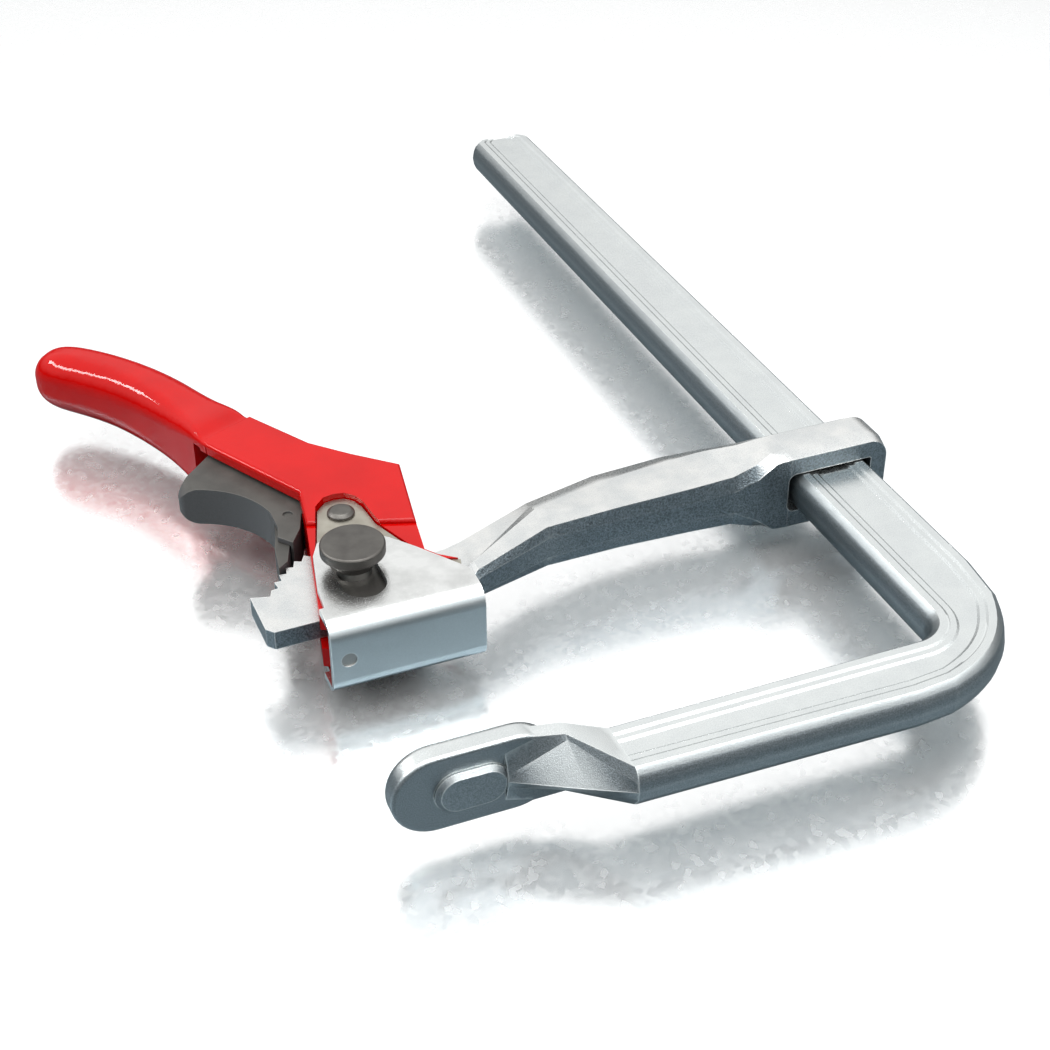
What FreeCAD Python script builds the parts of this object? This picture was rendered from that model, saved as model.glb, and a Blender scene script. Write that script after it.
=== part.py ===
"""Quick release bar clamp, built piece by piece in millimetres.

The clamp lies flat, with its mid plane at Z = 0. The origin is the middle of the fixed jaw's
clamping face. +Y points from the fixed jaw towards the sliding one, along the rail, and +X points
from the jaws to the rail.
"""

import FreeCAD, Part
import math
import os

import Sketcher

# Driving sizes, in millimetres and degrees

SIZES = {
    # rail and fixed arm: one forged bar of one section, bent through a right angle
    "rail_width": 26.8,
    "rail_thickness": 12.6,
    "rail_end": 357.0,              # jaw face to the rail's free end
    "rail_end_round": 2.5,
    "throat": 132.9,                # jaw centre to the rail's inner edge
    "neck_length": 16.0,            # where the rail narrows into the bend
    "bend_radius": 8.5,             # inner radius of the bend
    "shoulder_length": 11.0,        # where the arm widens again past the bend
    "arm_width": 23.2,
    "arm_end_width": 21.6,
    "arm_setback": 4.0,             # arm's inner edge behind the jaw face
    "side_bow": 0.5,                # the bar's narrow sides bulge to a parting line
    "side_drop": 3.4,
    "rim_bow": 1.4,
    "rim_drop": 1.4,
    "rim_width": 3.0,
    "first_step": 5.2,              # the wide faces sink to their middle in two steps
    "second_step": 7.6,
    "step_run": 0.75,
    "first_sink": 0.4,
    "second_sink": 0.85,
    # fixed jaw
    "knee_x": 33.0,                 # where the arm's section ends
    "facet_x": 20.5,                # peak of the jaw's side facets
    "facet_shelf": 0.8,             # facet's points, out from the jaw pad's outer face
    "facet_lip": 1.8,
    "facet_ridge": 11.3,
    "jaw_root_x": 4.5,
    "jaw_offset": -3.0,             # jaw pad's middle against the clamping centre
    "jaw_length": 45.0,
    "jaw_height": 24.0,
    "jaw_thickness": 7.5,
    "jaw_edge": 1.2,
    "jaw_face_edge": 2.8,
    "boss_offset": -4.5,
    "boss_length": 20.0,
    "boss_height": 12.6,
    "boss_rise": 2.0,
    "boss_edge": 1.3,
    # sliding arm
    "head_front": 77.5,
    "head_back": 97.3,
    "head_left_wall": 4.5,          # head's metal on each side of its slot
    "head_right_wall": 6.7,
    "head_height": 27.0,
    "head_round": 7.5,
    "head_left_round": 4.0,
    "head_bevel": 4.8,
    "head_bevel_drop": 1.2,
    "head_back_bevel": 6.3,
    "head_back_drop": 4.4,
    "slot_left_gap": 1.4,           # head's slot against the rail's inner edge
    "slot_side_gap": 0.4,           # and against its outer edge
    "slot_face_gap": 0.4,           # head's slot against the rail's wide faces
    "slot_left_round": 2.5,
    "slot_right_round": 0.8,
    "tongue_thickness": 6.0,
    "tongue_front": 8.6,
    "tongue_back": 10.2,
    "tongue_x": 31.5,               # where the tongue meets the arm, from the pivot
    "tooth_tip_radius": 23.9,
    "tooth_root_radius": 22.1,
    "tooth_start": 156.8,
    "tooth_pitch": 9.1,
    "tooth_lean": 3.0,
    # pivot
    "pivot_x": -7.5,
    "pivot_y": 77.0,
    "pin_radius": 5.0,
    "pin_end_radius": 3.5,
    "pin_gap": 0.05,
    "collar_radius": 5.8,
    "collar_base": 12.6,
    "cap_base": 16.4,
    "cap_radius": 9.25,
    "cap_thickness": 3.6,
    "cap_edge": 0.5,
    "cap_skin": 1.0,                # cap material over the pin's end
    "shim_thickness": 0.3,
    "shim_width": 17.0,
    "shim_front": 15.9,
    "shim_back": 9.5,
    "layer_gap": 0.05,
    # lever
    "cheek_half": 9.6,              # half thickness over the cheeks
    "grip_half": 11.0,              # half thickness over the handle
    "tongue_gap": 0.3,
    "fork_radius": 35.0,
    "cam_offset": 7.5,
    "cam_radius": 23.0,
    "cam_start": 210.6,             # where the cam's round edge starts and ends
    "cam_end": -12.0,
    "cheek_radius": 22.3,
    "cheek_start": 232.1,
    "cheek_end": -11.7,
    "cam_thickness": 1.9,
    "cam_sink": 0.4,                # cam plate below the cheek's face
    "cam_gap": 0.4,                 # pocket wall against the cam plate
    "rivet_x": 5.4,
    "rivet_y": 30.0,
    "rivet_radius": 2.0,
    "rivet_head_radius": 4.1,
    "rivet_head_rise": 1.9,
    "spacer_radius": 3.6,
    "channel_half": 7.4,
    "handle_edge": 1.2,
    # trigger and pawl
    "trigger_half": 6.3,
    "trigger_tip_round": 2.6,       # seen from above
    "trigger_tip_corner": 5.5,      # seen along the rail
    "scoop_radius": 28.0,
    "trigger_x": 1.5,
    "trigger_y": 44.5,
    "trigger_pin_radius": 2.0,
    "trigger_boss_radius": 4.0,
    "trigger_pin_skin": 1.6,        # handle wall left over the pin's blind end
    "pawl_half": 4.5,
    "pawl_gap": 0.1,
    "pawl_rivet_x": -8.2,
    "pawl_rivet_y": 40.0,
    "pawl_rivet_radius": 1.5,
    "pawl_rivet_sink": 0.6,
    "leaf_thickness": 0.6,
    "leaf_half": 2.6,
    # pressure plate
    "plate_face": 51.7,             # jaw face to pressure plate at rest
    "plate_half_width": 22.4,
    "plate_sheet": 2.0,
    "plate_bend": 5.5,
    "plate_inner_bend": 1.2,
    "plate_slot_width": 12.6,
    "plate_slot_front": 15.5,
    "plate_slot_back": 11.4,
    "plate_rivet_x": -17.5,
    "plate_rivet_radius": 2.0,
    "plate_rivet_sink": 0.5,
    "plate_hole_radius": 2.2,
    "plate_leaf_reach": 30.0,
}

# Outlines read from the object's shape. Points of the lever, trigger and cams run from the pivot.

OUTLINES = {
    # sliding arm's stations: near side, top near edge, top far edge, chamfer, far side (Y, Z)
    "arm_head": [(77.45, 12.35), (82.25, 13.55), (91.05, 13.55), (94.15, 11.4), (97.35, 9.15)],
    "arm_neck": [(77.5, 12.0), (82.0, 13.2), (91.3, 13.2), (94.6, 11.1), (97.6, 8.9)],
    "arm_flare": [(78.1, 7.2), (80.8, 11.1), (93.4, 11.1), (96.8, 9.4), (99.2, 7.6)],
    "arm_root": [(79.6, 3.6), (80.9, 8.7), (97.4, 8.7), (100.4, 7.3), (102.6, 6.0)],
    "arm_wide": [(80.2, 3.0), (81.0, 8.0), (97.5, 8.0), (100.8, 6.8), (103.8, 5.6)],
    "arm_mid": [(80.4, 3.0), (81.2, 7.4), (95.7, 7.4), (99.2, 6.4), (102.3, 5.5)],
    "arm_knee": [(79.2, 3.3), (80.3, 7.0), (90.3, 7.0), (93.5, 6.1), (96.7, 5.2)],
    "arm_foot": [(69.8, 2.6), (71.2, 4.9), (75.3, 4.9), (76.5, 3.4), (88.2, 3.05)],
    # arm's stations along X: the first four are counted from the rail, the others from the jaw
    "head_stations": [(-0.9, 0.0), (-5.9, 0.0), (-11.9, 0.0), (-18.9, 0.0)],
    "arm_stations": [(100.5, 0.0), (76.5, 0.0), (52.5, 0.0), (27.5, 0.0)],
    # tongue from its far corner round its end to its near edge
    "tongue_end": [(-23.0, 6.8), (-28.5, 8.2), (-28.3, -7.2), (-26.4, -9.5)],
    "tongue_rear": [(27.4, 9.4), (4.0, 22.2)],
    # lever's fork, below the step in its faces
    "cheek_left": [(-6.0, 27.0), (-14.4, -13.5)],
    "cheek_right": [(24.6, -0.6), (22.0, 3.2), (24.1, 16.3)],
    # lever's plateau, above the step
    "plateau": [(29.5, 46.9), (17.6, 58.2), (7.4, 69.2), (-5.55, 91.8), (-24.0, 82.8), (-21.3, 77.2),
                (-3.4, 43.8)],
    # grip stations: centre, then lean and share of the height, then width and corner radius
    "grip_centre": [(-13.5, 84.6), (-16.2, 92.6), (-19.4, 101.8), (-27.0, 121.2), (-38.0, 140.8), (-48.6, 153.4),
                    (-53.2, 157.9), (-56.6, 161.1), (-58.9, 163.3), (-60.0, 164.3)],
    "grip_lean": [(26.0, 1.0), (25.0, 1.0), (25.0, 1.0), (26.5, 1.0), (34.0, 1.0), (42.5, 0.98), (45.0, 0.94),
                  (46.0, 0.82), (46.0, 0.6), (46.0, 0.32)],
    "grip_corner": [(20.9, 1.5), (19.8, 3.0), (19.2, 5.0), (19.5, 7.4), (19.6, 8.4), (19.2, 8.3), (18.4, 8.0),
                    (16.1, 7.0), (11.8, 5.1), (6.3, 2.7)],
    # bend stations: turn from the rail, then the bar's width there
    "bend": [(0.0, 24.9), (22.5, 21.8), (45.0, 20.5), (67.5, 20.5), (90.0, 22.2)],
    # cam plate's tail, from its left root round the rivet to its right root
    "cam_tail": [(-9.4, 1.0), (-6.3, 15.7), (-0.8, 33.8), (2.6, 37.3), (5.7, 37.8), (8.6, 37.3), (11.1, 34.7),
                 (12.3, 30.8), (13.2, 21.3), (20.2, 2.0), (23.2, -2.6)],
    # channel in the handle that holds the trigger
    "channel": [(-26.5, 88.0), (-9.5, 88.8), (3.2, 53.0), (7.0, 48.5), (7.0, 41.0), (3.5, 39.0), (-6.0, 37.6),
                (-12.0, 37.6), (-45.0, 60.0), (-45.0, 88.0)],
    # trigger, from its inner end round the finger scoop
    "trigger": [(-16.6, 83.6), (-20.7, 82.2), (-27.2, 75.6), (-34.5, 68.6), (-33.9, 64.5), (-30.6, 63.3),
                (-12.8, 42.6), (-12.8, 34.6), (-14.2, 29.6), (-10.8, 25.3), (-6.9, 31.4), (-4.4, 38.6), (5.3, 43.2),
                (5.3, 47.0), (-0.6, 52.6)],
    # pawl, from its tip
    "pawl": [(-17.5, 16.9), (-16.0, 27.0), (-14.0, 33.0), (-11.6, 43.0), (-5.6, 44.5), (-5.0, 38.0),
             (-11.4, 27.2), (-14.2, 19.4)],
    # pressure plate's flange, from the front right corner round its back
    "flange": [(29.9, -16.6), (29.9, -13.4), (19.0, 2.4), (13.6, 9.4), (6.0, 15.4), (-3.5, 16.2), (-6.6, 14.2),
               (-9.4, 8.6), (-12.6, -6.4), (-13.4, -15.6), (-14.9, -16.6)],
    # trigger spring: leaf from the handle's web towards the trigger's back
    "trigger_leaf": [(2.1, 56.0), (0.85, 59.5), (-1.6, 63.5), (-3.8, 66.6), (-4.7, 68.6)],
    # plate spring: leaf from the plate's rivet towards the tongue's front
    "plate_leaf": [(-13.6, 0.0), (-2.0, 2.9), (9.0, 7.6), (16.0, 10.0), (19.0, 10.0)],
}


class Size:
    """A number with the expression that ties it to the sheet."""

    def __init__(self, value, text=None):
        self.value = float(value)
        self.text = text if text else f"({self.value!r})"

    def join(self, other, sign, value):
        return Size(value, f"({self.text} {sign} {other.text})")

    def __add__(self, other):
        other = as_size(other)
        return self.join(other, "+", self.value + other.value)

    def __sub__(self, other):
        other = as_size(other)
        return self.join(other, "-", self.value - other.value)

    def __mul__(self, other):
        other = as_size(other)
        return self.join(other, "*", self.value * other.value)

    def __truediv__(self, other):
        other = as_size(other)
        return self.join(other, "/", self.value / other.value)

    def __radd__(self, other):
        return as_size(other) + self

    def __rsub__(self, other):
        return as_size(other) - self

    def __rmul__(self, other):
        return as_size(other) * self

    def __neg__(self):
        return Size(-self.value, f"(0 - {self.text})")


def as_size(number):
    return number if isinstance(number, Size) else Size(number)


def polar(radius, angle):
    """Point at a radius and an angle in degrees, as two sizes."""
    turn = math.radians(angle.value)
    across = Size(radius.value * math.cos(turn), f"({radius.text} * cos({angle.text}))")
    up = Size(radius.value * math.sin(turn), f"({radius.text} * sin({angle.text}))")
    return across, up


def write_sheet(sheet):
    """Puts every size and outline point into a cell of its own and returns them by name."""
    cells = dict(SIZES)
    for name, points in OUTLINES.items():
        for place, (across, up) in enumerate(points, start=1):
            cells[f"{name}_across{place}"] = across
            cells[f"{name}_up{place}"] = up
    sizes = {}
    for row, (alias, number) in enumerate(cells.items(), start=1):
        sheet.set(f"A{row}", alias.replace("_", " "))
        sheet.set(f"B{row}", repr(float(number)))
        sheet.setAlias(f"B{row}", alias)
        sizes[alias] = Size(number, f"{sheet.Name}.{alias}")
    return sizes


def shape_of(name):
    """Outline points as pairs of sizes."""
    count = len(OUTLINES[name])
    return [(dim[f"{name}_across{place}"], dim[f"{name}_up{place}"]) for place in range(1, count + 1)]


# Sketches and features

def bind(item, path, size):
    """Ties one property to the sheet."""
    item.setExpression(path, as_size(size).text)


def new_body(name):
    body = doc.addObject("PartDesign::Body", name)
    body.Label = name
    return body


def new_sketch(body, role, origin=(0, 0, 0), turn=None):
    """Sketch on one of the body's own planes. origin is in the plane's axes, turn is about its second axis."""
    sketch = body.newObject("Sketcher::SketchObject", f"{body.Name}_sketch")
    plane = next(item for item in body.Origin.OriginFeatures if item.Role == role)
    sketch.AttachmentSupport = [(plane, "")]
    sketch.MapMode = "FlatFace"
    if turn is not None:
        sketch.AttachmentOffset = FreeCAD.Placement(FreeCAD.Vector(),
                                                    FreeCAD.Rotation(FreeCAD.Vector(0, 1, 0), turn.value))
        bind(sketch, "AttachmentOffset.Rotation.Angle", turn)
    for axis, size in zip("xyz", origin):
        bind(sketch, f"AttachmentOffset.Base.{axis}", size)
    return sketch


def plan_sketch(body, height=0, about_pivot=False):
    """Sketch seen from above, from the origin or from the pivot."""
    if about_pivot:
        return new_sketch(body, "XY_Plane", (dim["pivot_x"], dim["pivot_y"], height))
    return new_sketch(body, "XY_Plane", (0, 0, height))


def hold_point(sketch, line, end, across, up):
    """Fixes one point of a sketch by its two distances from the sketch's origin."""
    for kind, size in (("DistanceX", across), ("DistanceY", up)):
        size = as_size(size)
        number = sketch.addConstraint(Sketcher.Constraint(kind, -1, 1, line, end, size.value))
        bind(sketch, f"Constraints[{number}]", size)


def outline(sketch, points, arcs=None):
    """Closed outline. arcs gives the radius of the arc after a point, negative where it bends inward."""
    arcs = arcs or {}
    points = [(as_size(across), as_size(up)) for across, up in points]
    first = sketch.GeometryCount
    for place, (across, up) in enumerate(points):
        start = FreeCAD.Vector(across.value, up.value, 0)
        across, up = points[(place + 1) % len(points)]
        end = FreeCAD.Vector(across.value, up.value, 0)
        if place in arcs:
            add_arc(sketch, start, end, as_size(arcs[place]))
        else:
            sketch.addGeometry(Part.LineSegment(start, end), False)
    ends = [(1, 2) if start_first(sketch, first + place, points[place]) else (2, 1)
            for place in range(len(points))]
    for place in range(len(points)):
        following = (place + 1) % len(points)
        sketch.addConstraint(Sketcher.Constraint("Coincident", first + place, ends[place][1],
                                                 first + following, ends[following][0]))
    for place, (across, up) in enumerate(points):
        hold_point(sketch, first + place, ends[place][0], across, up)
    for place, radius in arcs.items():
        number = sketch.addConstraint(Sketcher.Constraint("Radius", first + place, abs(as_size(radius).value)))
        bind(sketch, f"Constraints[{number}]", radius if as_size(radius).value > 0 else -as_size(radius))
    return sketch


def add_arc(sketch, start, end, radius):
    """Arc from start to end. A positive radius bulges to the right of the way from start to end."""
    chord = end - start
    middle = (start + end) * 0.5
    side = FreeCAD.Vector(chord.y, -chord.x, 0).normalize()
    reach = math.sqrt(max(radius.value ** 2 - (chord.Length / 2) ** 2, 0))
    turn = 1 if radius.value > 0 else -1
    centre = middle - side * (reach * turn)
    crown = centre + side * (abs(radius.value) * turn)
    sketch.addGeometry(Part.Arc(start, crown, end), False)


def start_first(sketch, number, point):
    """Whether the geometry's own start lies on the point."""
    across, up = point
    spot = sketch.getPoint(number, 1)
    return math.hypot(spot.x - across.value, spot.y - up.value) < 1e-6


def ring(sketch, across, up, radius):
    """Circle with its centre and radius tied to the sheet."""
    centre = FreeCAD.Vector(as_size(across).value, as_size(up).value, 0)
    number = sketch.addGeometry(Part.Circle(centre, FreeCAD.Vector(0, 0, 1), as_size(radius).value), False)
    hold_point(sketch, number, 3, across, up)
    held = sketch.addConstraint(Sketcher.Constraint("Radius", number, as_size(radius).value))
    bind(sketch, f"Constraints[{held}]", radius)
    return sketch


def rounded_box(sketch, left, right, low, high, left_round, right_round):
    """Rectangle with one radius on its left corners and another on its right corners."""
    left, right, low, high = (as_size(size) for size in (left, right, low, high))
    points = [(left + left_round, low), (right - right_round, low), (right, low + right_round),
              (right, high - right_round), (right - right_round, high), (left + left_round, high),
              (left, high - left_round), (left, low + left_round)]
    return outline(sketch, points, {1: right_round, 3: right_round, 5: left_round, 7: left_round})


def stadium(sketch, middle, length, height):
    """Outline with two straight sides and two half round ends."""
    end = height / 2
    reach = length / 2 - end
    points = [(middle - reach, -end), (middle + reach, -end), (middle + reach, end), (middle - reach, end)]
    number = sketch.GeometryCount
    values = [FreeCAD.Vector(across.value, as_size(up).value, 0) for across, up in points]
    crowns = [FreeCAD.Vector((middle + length / 2).value, 0, 0), FreeCAD.Vector((middle - length / 2).value, 0, 0)]
    sketch.addGeometry(Part.LineSegment(values[0], values[1]), False)
    sketch.addGeometry(Part.Arc(values[1], crowns[0], values[2]), False)
    sketch.addGeometry(Part.LineSegment(values[2], values[3]), False)
    sketch.addGeometry(Part.Arc(values[3], crowns[1], values[0]), False)
    for place in range(4):
        sketch.addConstraint(Sketcher.Constraint("Coincident", number + place, 2, number + (place + 1) % 4, 1))
    for place in (0, 2):
        hold_point(sketch, number + place, 1, *points[place])
        hold_point(sketch, number + place, 2, *points[place + 1])
    for place, centre in ((1, middle + reach), (3, middle - reach)):
        held = sketch.addConstraint(Sketcher.Constraint("DistanceX", -1, 1, number + place, 3, centre.value))
        bind(sketch, f"Constraints[{held}]", centre)
    return sketch


def finish_feature(body, feature):
    body.Tip = feature
    doc.recompute()
    return feature


def pad(body, sketch, length, both_ways=False, backwards=False):
    feature = body.newObject("PartDesign::Pad", f"{body.Name}_pad")
    feature.Profile = sketch
    feature.SideType = "Symmetric" if both_ways else "One side"
    feature.Reversed = backwards
    bind(feature, "Length", length)
    return finish_feature(body, feature)


def pocket(body, sketch, length, both_ways=False, backwards=False):
    """Cut along the sketch's normal. The volume is compared, because a cut may miss."""
    before = body.Shape.Volume
    feature = body.newObject("PartDesign::Pocket", f"{body.Name}_pocket")
    feature.Profile = sketch
    feature.SideType = "Symmetric" if both_ways else "One side"
    feature.Reversed = backwards
    bind(feature, "Length", length)
    finish_feature(body, feature)
    if feature.Shape.Volume >= before - 1e-3:
        raise RuntimeError(f"{feature.Name} cuts nothing")
    return feature


def loft(body, sketches, ruled=True):
    feature = body.newObject("PartDesign::AdditiveLoft", f"{body.Name}_loft")
    feature.Profile = sketches[0]
    feature.Sections = sketches[1:]
    feature.Ruled = ruled
    return finish_feature(body, feature)


def revolve(body, sketch, axis, angle=360, backwards=False):
    feature = body.newObject("PartDesign::Revolution", f"{body.Name}_revolution")
    feature.Profile = sketch
    feature.ReferenceAxis = (sketch, [axis])
    feature.Angle = angle
    feature.Reversed = backwards
    return finish_feature(body, feature)


def dress(body, kind, wanted, size):
    """Fillet or chamfer on the edges that pass a test."""
    base = body.Tip
    names = [f"Edge{number}" for number, edge in enumerate(base.Shape.Edges, start=1) if wanted(edge)]
    feature = body.newObject(f"PartDesign::{kind}", f"{body.Name}_{kind.lower()}")
    feature.Base = (base, names)
    bind(feature, "Radius" if kind == "Fillet" else "Size", size)
    return finish_feature(body, feature)


def on_plane(axis, place, tolerance=1e-3):
    """Test for edges that lie in one plane across an axis."""
    def wanted(edge):
        box = edge.BoundBox
        low, high = {"x": (box.XMin, box.XMax), "y": (box.YMin, box.YMax), "z": (box.ZMin, box.ZMax)}[axis]
        return abs(low - place.value) < tolerance and abs(high - place.value) < tolerance
    return wanted


def mirrored(points):
    """Outline of a section that is alike above and below, from its upper points."""
    return points + [(across, -up) for across, up in reversed(points) if as_size(up).value != 0]


# Fixed bar: rail, bend, arm and jaw

def bar_section(width, start=0, way=1):
    """Section of the bar, from its inner edge outward."""
    half = dim["rail_thickness"] / 2
    first = dim["first_step"]
    second = dim["second_step"]
    run = dim["step_run"]
    inner = [(as_size(0), as_size(0)), (dim["side_bow"], half - dim["side_drop"]),
             (dim["rim_bow"], half - dim["rim_drop"]), (dim["rim_width"], half), (first, half),
             (first + run, half - dim["first_sink"]), (second, half - dim["first_sink"]),
             (second + run, half - dim["second_sink"])]
    outer = [(width - across, height) for across, height in reversed(inner)]
    return mirrored([(start + across * way, height) for across, height in inner + outer])


def across_rail(body, distance, points, shift=0):
    """Sketch in a plane square to the rail, at a distance along it."""
    sketch = new_sketch(body, "XZ_Plane", (shift, 0, -as_size(distance)))
    return outline(sketch, points)


def across_arm(body, distance, points):
    """Sketch in a plane square to the arms, at a distance from the jaw's centre."""
    return outline(new_sketch(body, "YZ_Plane", (0, 0, distance)), points)


def build_fixed_bar():
    """Jaw pad first, then its swell, the arm, the bend and the rail, each joined to the last."""
    body = new_body("fixed_bar")
    bend_y = dim["bend_radius"] - dim["arm_setback"]
    bend_x = dim["throat"] - dim["bend_radius"]
    neck_y = bend_y + dim["neck_length"]
    bend_stations = shape_of("bend")
    inner_edge = -dim["arm_setback"]
    build_jaw(body, inner_edge)
    stations = [(bend_x, bend_stations[-1][1]), (bend_x - dim["shoulder_length"], dim["arm_width"]),
                (dim["knee_x"], dim["arm_end_width"])]
    loft(body, [across_arm(body, station, bar_section(width, inner_edge, -1)) for station, width in stations])
    sections = []
    for turn, width in bend_stations:
        sketch = new_sketch(body, "XZ_Plane", (bend_x, 0, -bend_y), -turn)
        sections.append(outline(sketch, bar_section(width, dim["bend_radius"])))
    loft(body, sections, ruled=False)
    loft(body, [across_rail(body, neck_y, bar_section(dim["rail_width"]), dim["throat"]),
                across_rail(body, bend_y, bar_section(bend_stations[0][1]), dim["throat"])])
    trim = dim["rail_end_round"]
    section = across_rail(body, neck_y, bar_section(dim["rail_width"]), dim["throat"])
    pad(body, section, dim["rail_end"] - trim - neck_y, backwards=True)
    loft(body, [across_rail(body, dim["rail_end"] - trim, bar_section(dim["rail_width"]), dim["throat"]),
                across_rail(body, dim["rail_end"], bar_section(dim["rail_width"] - trim * 2, trim), dim["throat"])])
    return body


def build_jaw(body, inner_edge):
    """Rounded jaw pad with its boss, and the faceted swell from the pad to the arm's end."""
    half = dim["rail_thickness"] / 2
    high = dim["jaw_height"] / 2
    face = new_sketch(body, "XZ_Plane")
    stadium(face, dim["jaw_offset"], dim["jaw_length"], dim["jaw_height"])
    pad(body, face, dim["jaw_thickness"])
    dress(body, "Fillet", on_plane("y", as_size(0)), dim["jaw_face_edge"])
    dress(body, "Fillet", on_plane("y", -dim["jaw_thickness"]), dim["jaw_edge"])
    boss = new_sketch(body, "XZ_Plane", (0, 0, dim["jaw_thickness"] / 2))
    stadium(boss, dim["boss_offset"], dim["boss_length"], dim["boss_height"])
    pad(body, boss, dim["jaw_thickness"] / 2 + dim["boss_rise"])
    dress(body, "Chamfer", on_plane("y", -dim["jaw_thickness"] - dim["boss_rise"]), dim["boss_edge"])
    outer_edge = inner_edge - dim["arm_end_width"]
    knee = [(inner_edge, 0), (inner_edge - dim["side_bow"], half - dim["side_drop"]),
            (inner_edge - dim["rim_width"], half), (outer_edge + dim["rim_width"], half),
            (outer_edge + dim["side_bow"], half - dim["side_drop"]), (outer_edge, 0)]
    facet = [(inner_edge * 0.7, 0), (inner_edge * 0.75, high * 0.7), (inner_edge * 1.1, high * 0.86),
             (-dim["jaw_thickness"] - dim["facet_shelf"], high * 0.8),
             (-dim["jaw_thickness"] - dim["facet_lip"], high * 0.7),
             (-dim["jaw_thickness"] - dim["facet_ridge"], 0)]
    root = [(-0.1, 0), (-0.1, high * 0.72), (-dim["jaw_face_edge"], high * 0.97),
            (-dim["jaw_thickness"] + dim["jaw_edge"], high * 0.97),
            (-dim["jaw_thickness"] - dim["boss_rise"] + 0.2, high * 0.17),
            (-dim["jaw_thickness"] - dim["boss_rise"], 0)]
    loft(body, [across_arm(body, dim["knee_x"], mirrored(knee)), across_arm(body, dim["facet_x"], mirrored(facet)),
                across_arm(body, dim["jaw_root_x"], mirrored(root))])


# Sliding arm

def build_sliding_arm():
    body = new_body("sliding_arm")
    names = ["arm_head", "arm_neck", "arm_flare", "arm_root", "arm_wide", "arm_mid", "arm_knee", "arm_foot"]
    stations = [dim["throat"] + station for station, _ in shape_of("head_stations")]
    stations += [station for station, _ in shape_of("arm_stations")]
    sketches = [across_arm(body, station, mirrored(shape_of(name))) for station, name in zip(stations, names)]
    foot = shape_of("arm_foot")
    half = dim["tongue_thickness"] / 2
    joint_x = dim["pivot_x"] + dim["tongue_x"]
    front = dim["pivot_y"] - dim["tongue_front"]
    back = dim["pivot_y"] + dim["tongue_back"]
    end = [(front, half - 0.8), (front + 1.0, half), (foot[2][0] - 1.1, half), (foot[3][0] - 1.1, half), (back, half)]
    sketches.append(across_arm(body, joint_x, mirrored(end)))
    loft(body, sketches)
    build_head(body)
    build_tongue(body, joint_x)
    return body


def build_head(body):
    """Block that runs on the rail, with its slot."""
    half = dim["head_height"] / 2
    bevel_y = dim["head_front"] + dim["head_bevel"]
    drop = dim["head_bevel_drop"]
    left = dim["throat"] - dim["slot_left_gap"]
    right = dim["throat"] + dim["rail_width"] + dim["slot_side_gap"]
    sizes = (left - dim["head_left_wall"], right + dim["head_right_wall"], -half, half, dim["head_left_round"],
             dim["head_round"])
    back_drop = dim["head_back_drop"]
    stops = [(dim["head_front"], drop), (bevel_y, None), (dim["head_back"] - dim["head_back_bevel"], None),
             (dim["head_back"], back_drop)]
    sections = []
    for distance, inset in stops:
        sketch = new_sketch(body, "XZ_Plane", (0, 0, -distance))
        if inset is None:
            rounded_box(sketch, *sizes)
        else:
            rounded_box(sketch, sizes[0], sizes[1] - inset, inset - half, half - inset, sizes[4], sizes[5] - inset)
        sections.append(sketch)
    loft(body, sections)
    slot = new_sketch(body, "XZ_Plane", (0, 0, -dim["head_front"] + 1))
    high = dim["rail_thickness"] / 2 + dim["slot_face_gap"]
    rounded_box(slot, left, right, -high, high, dim["slot_left_round"], dim["slot_right_round"])
    pocket(body, slot, dim["head_back"] - dim["head_front"] + 2, backwards=False)


def build_tongue(body, joint_x):
    """Flat tongue round the pivot, with the ratchet teeth on its far edge."""
    points = shape_of("tongue_end")
    outline_points = [(dim["tongue_x"] + 1.0, -dim["tongue_front"]), (dim["tongue_x"] + 1.0, dim["tongue_back"])]
    outline_points += shape_of("tongue_rear")
    for number in reversed(range(7)):
        tip = dim["tooth_start"] - dim["tooth_pitch"] * number
        outline_points.append(polar(dim["tooth_root_radius"], tip - dim["tooth_lean"]))
        outline_points.append(polar(dim["tooth_tip_radius"], tip))
    outline_points += points
    plate = plan_sketch(body, about_pivot=True)
    outline(plate, outline_points)
    pad(body, plate, dim["tongue_thickness"], both_ways=True)
    bore = plan_sketch(body, about_pivot=True)
    ring(bore, 0, 0, dim["pin_radius"] + dim["pin_gap"])
    pocket(body, bore, dim["tongue_thickness"] * 3, both_ways=True)


# Pivot: pin, collars, caps and shims

def turned(name, points, about=("pivot_x", "pivot_y")):
    """Piece turned about an upright axis, from its half section (radius, height)."""
    body = new_body(name)
    sketch = new_sketch(body, "XZ_Plane", (dim[about[0]], 0, -dim[about[1]]))
    outline(sketch, points)
    revolve(body, sketch, "V_Axis")
    return body


def build_pivot():
    neck = dim["collar_base"]
    top = dim["cap_base"] + dim["cap_thickness"] - dim["cap_skin"]
    core = dim["pin_end_radius"]
    turned("pivot_pin", [(0, -top), (core, -top), (core, -neck), (dim["pin_radius"], -neck),
                         (dim["pin_radius"], neck), (core, neck), (core, top), (0, top)])
    bore = core + dim["pin_gap"]
    for side, name in ((1, "top"), (-1, "bottom")):
        low = dim["collar_base"] * side
        base = dim["cap_base"] * side
        over = (dim["cap_base"] + dim["cap_thickness"]) * side
        edge = dim["cap_edge"]
        turned(f"collar_{name}", [(bore, low), (dim["collar_radius"], low), (dim["collar_radius"], base), (bore, base)])
        turned(f"pin_cap_{name}", [
            (bore, base), (dim["cap_radius"] - edge, base), (dim["cap_radius"], base + edge * side),
            (dim["cap_radius"], over - edge * side), (dim["cap_radius"] - edge, over), (0, over),
            (0, top * side), (bore, top * side)])
        build_shim(f"slide_shim_{name}", side)


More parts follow.
